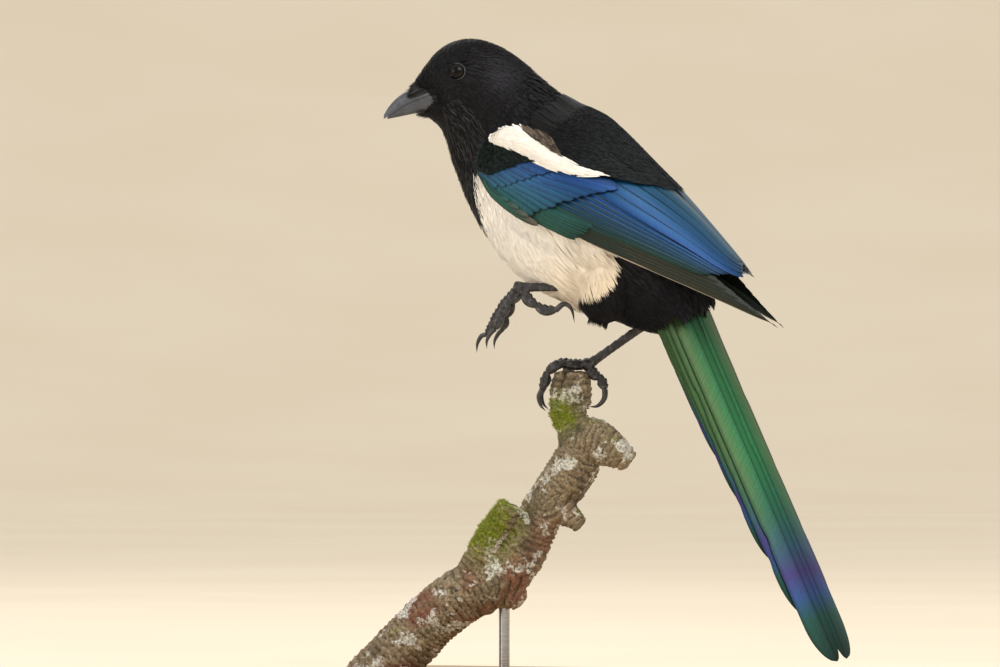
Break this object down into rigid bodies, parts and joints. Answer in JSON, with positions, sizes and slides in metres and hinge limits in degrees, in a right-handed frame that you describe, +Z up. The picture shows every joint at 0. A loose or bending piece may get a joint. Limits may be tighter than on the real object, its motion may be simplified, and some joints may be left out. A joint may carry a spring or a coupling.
{
  "type": "eurasian magpie model on a stand",
  "caption": "Life-size still model of a Eurasian magpie gripping a cut branch, left foot lifted and long tail hanging, on a flat display base with a steel rod.",
  "frame": {"origin": "middle of the underside of the display base, on the floor", "axes": "+Z up out of the base, +X towards the tail, so the bird's body faces -X and its left side faces -Y"},
  "size_m": [0.32, 0.14, 0.3659],
  "materials": {
    "plumage": "short body feathers, black and cream white",
    "flight_feathers": "stiff glossy vanes, blue, green and black",
    "shoulder_feathers": "soft white feathers",
    "bill": "dark horn with a soft sheen",
    "eye": "wet dark brown",
    "leg_skin": "dark scaled skin",
    "claw": "polished dark horn",
    "bark": "rough grey brown bark with lichen and moss",
    "stand_wood": "satin oiled light wood",
    "stand_steel": "satin"
  },
  "bodies": {
    "root": {"head": "plumage", "neck": "plumage", "torso": "plumage", "thigh_left": "plumage", "thigh_right": "plumage", "wing_left": "flight_feathers", "wing_right": "flight_feathers", "tail": "flight_feathers", "scapulars_left": "shoulder_feathers", "scapulars_right": "shoulder_feathers", "bill_upper": "bill", "bill_lower": "bill", "eye_left": "eye", "eye_right": "eye", "tarsus_left": "leg_skin", "toe_left_1": "leg_skin", "toe_left_2": "leg_skin", "toe_left_3": "leg_skin", "toe_left_4": "leg_skin", "claw_left_1": "claw", "claw_left_2": "claw", "claw_left_3": "claw", "claw_left_4": "claw", "tarsus_right": "leg_skin", "toe_right_1": "leg_skin", "toe_right_2": "leg_skin", "toe_right_3": "leg_skin", "toe_right_4": "leg_skin", "claw_right_1": "claw", "claw_right_2": "claw", "claw_right_3": "claw", "claw_right_4": "claw", "perch": "bark", "stand_base": "stand_wood", "stand_rod": "stand_steel"}
  },
  "joints": []
}
